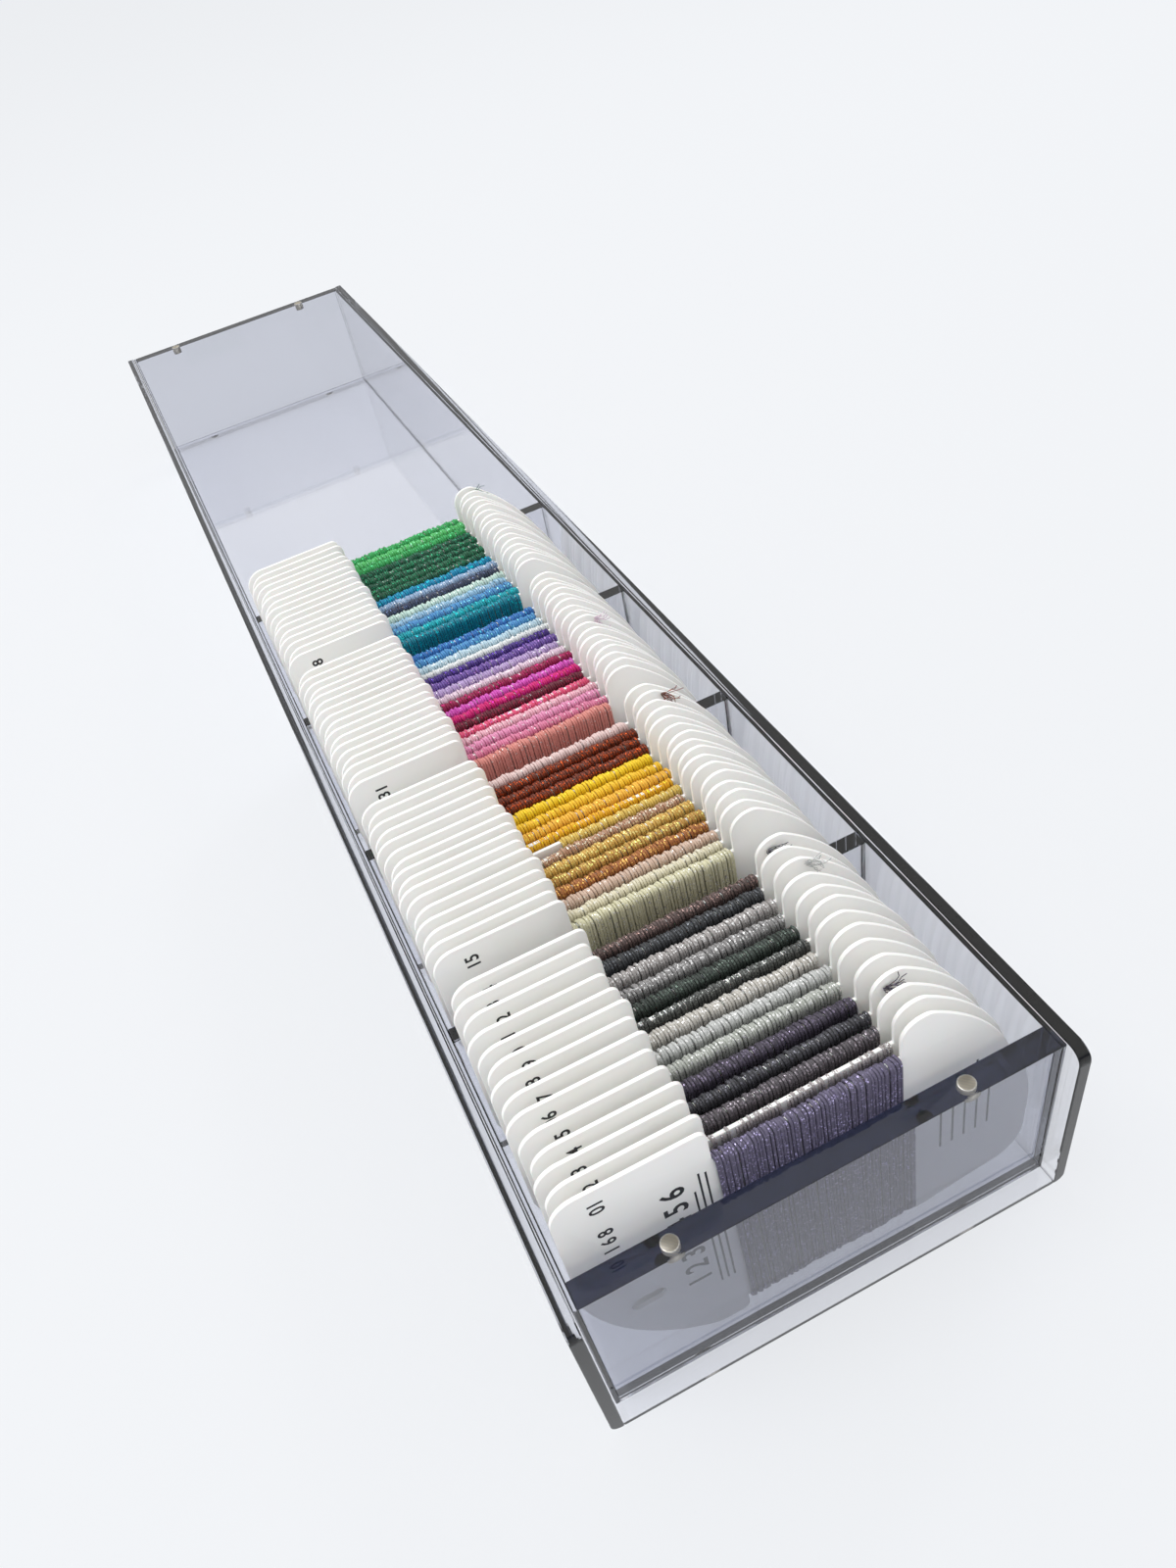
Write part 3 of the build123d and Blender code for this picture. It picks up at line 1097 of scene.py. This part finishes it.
# ---------------- card sets
@dataclass
class CardRow:
    """The cards, windings and marks of one colour set."""

    cards: CardSet
    first_number: int
    seed: int
    edge_round: float = 0.16 * MM
    pitch: float = 0.72 * MM
    strand_radius: float = 0.43 * MM
    slant: float = math.radians(11.0)
    lumps: float = 150.0
    bare_neck: float = 0.8 * MM
    loop_depth: float = 3.5 * MM
    large_figure: float = 7.4 * MM
    small_figure: float = 4.6 * MM

    @property
    def body(self) -> str:
        """Return the CAD body's name."""
        return f"{self.cards.name}_cards"

    def winding_points(self, extents: Sequence[Extent], loop_height: float) -> bpy.types.Mesh:
        """Return one vertex for each card, carrying its size and colour.

        Args:
            extents: The boxes of the set's windings.
            loop_height: The height of the loop that the shares refer to.

        Returns:
            The mesh of points.
        """
        mesh = bpy.data.meshes.new("winding_points")
        mesh.from_pydata([tuple(extent.centre) for extent in extents], [], [])
        names = ("depth_share", "height_share", "cover", "bare_start")
        shares: dict[str, list[float]] = {name: [] for name in names}
        shades: list[float] = []
        thread = 2 * self.strand_radius
        for extent, wound in zip(extents, self.cards.cards, strict=True):
            height = extent.size.z / math.cos(CARD_TILT)
            depth = (extent.size.y - height * math.sin(CARD_TILT)) / math.cos(CARD_TILT)
            shares["depth_share"].append((depth - thread) / self.loop_depth)
            shares["height_share"].append((height - thread) / loop_height)
            shares["cover"].append(wound.cover)
            shares["bare_start"].append(wound.bare_start)
            shades.extend((*wound.tone.shade(), 1.0))
        for name, values in shares.items():
            mesh.attributes.new(name, "FLOAT", "POINT").data.foreach_set("value", values)
        mesh.attributes.new("thread_shade", "FLOAT_COLOR", "POINT").data.foreach_set("color", shades)
        return mesh

    def build_windings(self, winder: ThreadWinder) -> None:
        """Wind the set's cards.

        Args:
            winder: The thread winder.
        """
        node = f"thread_{self.cards.name}"
        extents = solids_of(node)
        loop_height = extents[0].size.z
        sizes = {
            "Neck Length": extents[0].size.x + 2 * (self.bare_neck - self.strand_radius),
            "Pitch": self.pitch,
            "Strand Radius": self.strand_radius,
            "Loop Height": loop_height,
            "Loop Depth": self.loop_depth,
            "Slant": self.slant,
            "Lumps": self.lumps,
        }
        thread = ThreadFinish(node, self.cards.glitter).material()
        mesh = winder.wind(self.winding_points(extents, loop_height), sizes, self.seed, thread)
        settle(new_object(f"winding_{self.cards.name}", mesh, thread), self.body, [node])

    def build_cards(self, plastic: bpy.types.Material) -> None:
        """Give the set's cards soft edges.

        Args:
            plastic: The card's material.
        """
        node = f"cards_{self.cards.name}"
        mesh = softened_copy(node, self.edge_round, f"{node}_blanks")
        settle(new_object(f"{node}_blanks", mesh, plastic), self.body, [node])

    def build_marks(self, ink: bpy.types.Material) -> None:
        """Print plain figures and a few ruled bars on every card.

        Args:
            ink: The ink.
        """
        marks = PrintedMarks(ink)
        chooser = random.Random(self.seed)
        for index, extent in enumerate(solids_of(f"cards_{self.cards.name}")):
            face = CardFace(extent)
            number = f"{self.first_number + index:02d}"
            row = f"{len(self.cards.cards)} 6 8"
            marks.numeral("1 2 3 4 5 6", self.large_figure, face.upward(27.0 * MM, 21.5 * MM))
            marks.numeral(number, self.small_figure, face.upward(11.4 * MM, 59.0 * MM))
            marks.numeral(row, self.small_figure, face.upward(11.4 * MM, 43.0 * MM))
            for line in range(3):
                length = chooser.uniform(30.0, 38.0) * MM
                marks.bar(length, 0.45 * MM, face.upward((29.3 + 1.5 * line) * MM, 18.0 * MM))
            for line in range(5):
                length = chooser.uniform(12.0, 20.0) * MM
                marks.bar(length, 0.5 * MM, face.upward((84.0 + 3.0 * line) * MM, 24.0 * MM))
        settle(marks.piece(f"marks_{self.cards.name}"), self.body)


@dataclass
class LooseEnd:
    """A short frayed end of thread by the upper edge of one card's tail."""

    set_name: str
    card: int
    tone: Tone
    x: float
    s: float
    fibres: int = 12
    reach: float = 5.5 * MM
    fibre_radius: float = 0.11 * MM
    root_spread: float = 0.6 * MM
    bends: int = 4
    glitter: float = 0.8

    def build(self, seed: int) -> None:
        """Make the tuft as one mesh and tie it to its card.

        Args:
            seed: The random seed.
        """
        chooser = random.Random(seed)
        face = CardFace(solids_of(f"cards_{self.set_name}")[self.card])
        curve = bpy.data.curves.new("loose_end", "CURVE")
        curve.dimensions = "3D"
        curve.bevel_depth = self.fibre_radius
        curve.bevel_resolution = 0
        curve.use_fill_caps = True
        for _ in range(self.fibres):
            angle = chooser.uniform(-1.3, 0.5)
            length = self.reach * chooser.uniform(0.5, 1.0)
            spline = curve.splines.new("POLY")
            spline.points.add(self.bends)
            x = self.x + chooser.uniform(-self.root_spread, self.root_spread)
            s = self.s + chooser.uniform(-self.root_spread, self.root_spread)
            for step, point in enumerate(spline.points):
                along = length * step / self.bends
                lift = (0.35 + 0.55 * step * chooser.uniform(0.2, 1.0)) * MM
                place = face.place(x + along * math.cos(angle), s + along * math.sin(angle))
                point.co = (*(place + OUT_OF_CARD * lift), 1.0)
                angle += chooser.uniform(-0.35, 0.35)
        mesh = evaluated_mesh(linked("loose_end", curve))
        shades = mesh.attributes.new("thread_shade", "FLOAT_COLOR", "POINT")
        shades.data.foreach_set("color", (*self.tone.shade(), 1.0) * len(mesh.vertices))
        name = f"loose_end_{self.set_name}"
        thread = ThreadFinish(name, self.glitter).material()
        settle(new_object(name, mesh, thread), f"{self.set_name}_cards")


LOOSE_ENDS = (
    LooseEnd("magenta", 4, Tone.PINK_WHITE, 86.0 * MM, 65.0 * MM),
    LooseEnd("copper", 2, Tone.CHESTNUT, 86.0 * MM, 65.0 * MM),
    LooseEnd("black", 1, Tone.COAL, 80.0 * MM, 64.0 * MM),
    LooseEnd("charcoal", 2, Tone.PLUM_BLACK, 80.0 * MM, 64.0 * MM),
    LooseEnd("steel", 1, Tone.SILVER, 85.0 * MM, 65.0 * MM),
    LooseEnd("emerald", 2, Tone.FOREST, 84.0 * MM, 65.0 * MM),
)


# ---------------- studio
def seen_directly(tree: bpy.types.NodeTree) -> bpy.types.NodeSocket:
    """Return 1 for rays from the camera, straight or by way of gloss or glass, and otherwise 0.

    Args:
        tree: The node tree that asks.

    Returns:
        The number's output.
    """
    path = tree.nodes.new("ShaderNodeLightPath")
    found = path.outputs["Is Camera Ray"]
    for name in ("Is Glossy Ray", "Is Transmission Ray"):
        either = tree.nodes.new("ShaderNodeMath")
        either.operation = "MAXIMUM"
        tree.links.new(found, either.inputs[0])
        tree.links.new(path.outputs[name], either.inputs[1])
        found = either.outputs[0]
    return found


@dataclass
class Studio:
    """Floor, lights and camera."""

    floor_size: float = 12.0
    floor_gap: float = 0.2 * MM
    floor_colour: Colour = linear(240, 242, 245)
    floor_albedo: Colour = (0.72, 0.735, 0.76)
    plain_share: float = 0.8
    sky_strength: float = 1.0
    low_sky: Colour = (0.16, 0.18, 0.26)
    sky_rise: tuple[float, float] = (0.02, 0.42)
    camera_place: tuple[float, float, float] = (-54.58 * MM, -375.26 * MM, 264.36 * MM)
    camera_turn: tuple[float, float, float] = (43.569, 10.429, -24.739)
    focal_pixels: float = 1172.35
    long_side_pixels: float = 1600.0
    sensor: float = 36.0
    shift: tuple[float, float] = (0.0031, 0.0412)

    def build_floor(self) -> None:
        """Lay a plain pale floor that keeps the object's shadow."""
        bm = bmesh.new()
        bmesh.ops.create_grid(bm, x_segments=1, y_segments=1, size=self.floor_size / 2)
        bmesh.ops.translate(bm, vec=(0.0, 0.0, -self.floor_gap), verts=bm.verts)
        mesh = bpy.data.meshes.new("studio_floor")
        bm.to_mesh(mesh)
        bm.free()
        shader = Shader("studio_floor")
        lit = shader.add("ShaderNodeBsdfDiffuse", Color=(*self.floor_albedo, 1.0))
        shown = shader.add("ShaderNodeEmission", Color=(*self.floor_colour, 1.0), Strength=1.0)
        mix = shader.add("ShaderNodeMixShader")
        share = shader.tree.nodes.new("ShaderNodeMath")
        share.operation = "MULTIPLY"
        share.inputs[1].default_value = self.plain_share
        shader.join(seen_directly(shader.tree), share.inputs[0])
        shader.join(share.outputs[0], mix.inputs["Fac"])
        shader.join(lit.outputs[0], mix.inputs[1])
        shader.join(shown.outputs[0], mix.inputs[2])
        shader.join(mix.outputs[0], shader.output.inputs["Surface"])
        new_object("studio_floor", mesh, shader.material)

    def build_world(self) -> None:
        """Light from all round, bright above and darker near the horizon."""
        world = bpy.data.worlds.new("studio")
        bpy.context.scene.world = world
        world.use_nodes = True
        tree = world.node_tree
        tree.nodes.clear()
        place, split, ramp, sky, plain, path, mix, output = (
            tree.nodes.new(f"ShaderNode{kind}")
            for kind in (
                "TexCoord", "SeparateXYZ", "ValToRGB", "Background", "Background", "LightPath",
                "MixShader", "OutputWorld",
            )
        )
        low, high = ramp.color_ramp.elements
        low.position, high.position = self.sky_rise
        low.color = (*self.low_sky, 1.0)
        high.color = (1.0, 1.0, 1.0, 1.0)
        sky.inputs["Strength"].default_value = self.sky_strength
        plain.inputs["Color"].default_value = (*self.floor_colour, 1.0)
        for source, target in (
            (place.outputs["Generated"], split.inputs[0]),
            (split.outputs["Z"], ramp.inputs["Fac"]),
            (ramp.outputs["Color"], sky.inputs["Color"]),
            (path.outputs["Is Camera Ray"], mix.inputs["Fac"]),
            (sky.outputs[0], mix.inputs[1]),
            (plain.outputs[0], mix.inputs[2]),
            (mix.outputs[0], output.inputs["Surface"]),
        ):
            tree.links.new(source, target)

    def build_lamp(self, name: str, place: Vector, width: float, watts: float) -> None:
        """Hang a soft square lamp that faces the box.

        Args:
            name: The lamp's name.
            place: Where it hangs.
            width: Its side, in metres.
            watts: Its power.
        """
        data = bpy.data.lights.new(name, "AREA")
        data.size = width
        data.energy = watts
        lamp = linked(name, data)
        lamp.location = place
        lamp.rotation_euler = (-place).to_track_quat("-Z", "Y").to_euler()

    def build_camera(self) -> None:
        """Place the camera at the photograph's viewing angle."""
        data = bpy.data.cameras.new("camera")
        data.sensor_width = self.sensor
        data.lens = self.sensor * self.focal_pixels / self.long_side_pixels
        data.shift_x, data.shift_y = self.shift
        data.clip_start = 0.01
        camera = linked("camera", data)
        camera.location = self.camera_place
        camera.rotation_euler = Euler([math.radians(angle) for angle in self.camera_turn])
        bpy.context.scene.camera = camera

    def build(self) -> None:
        """Set up the whole studio."""
        self.build_floor()
        self.build_world()
        self.build_lamp("key_lamp", Vector((-0.7, 0.1, 1.3)), 0.6, 9.0)
        self.build_lamp("glint_lamp", Vector((0.9, 0.6, 1.0)), 0.2, 3.0)
        self.build_camera()
        bpy.context.scene.view_settings.view_transform = "Standard"


def main() -> None:
    """Build the thread box around its frame."""
    logging.basicConfig(level=logging.INFO, format="%(name)s %(message)s")
    for item in list(bpy.data.objects):
        bpy.data.objects.remove(item)
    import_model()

    for sheets in clear_sheets():
        sheets.build()

    nickel = MagnetFinish().material()
    Magnets("cover", "cover_magnets").build(nickel)
    Magnets("tray", "tray_magnets").build(nickel)

    plastic = CardFinish().material()
    ink = InkFinish().material()
    winder = ThreadWinder()
    number = 1
    for seed, card_set in enumerate(CARD_SETS, start=1):
        row = CardRow(card_set, number, seed)
        row.build_cards(plastic)
        row.build_windings(winder)
        row.build_marks(ink)
        number += len(card_set.cards)

    for seed, loose_end in enumerate(LOOSE_ENDS, start=101):
        loose_end.build(seed)

    Studio().build()


if __name__ == "__main__":
    main()
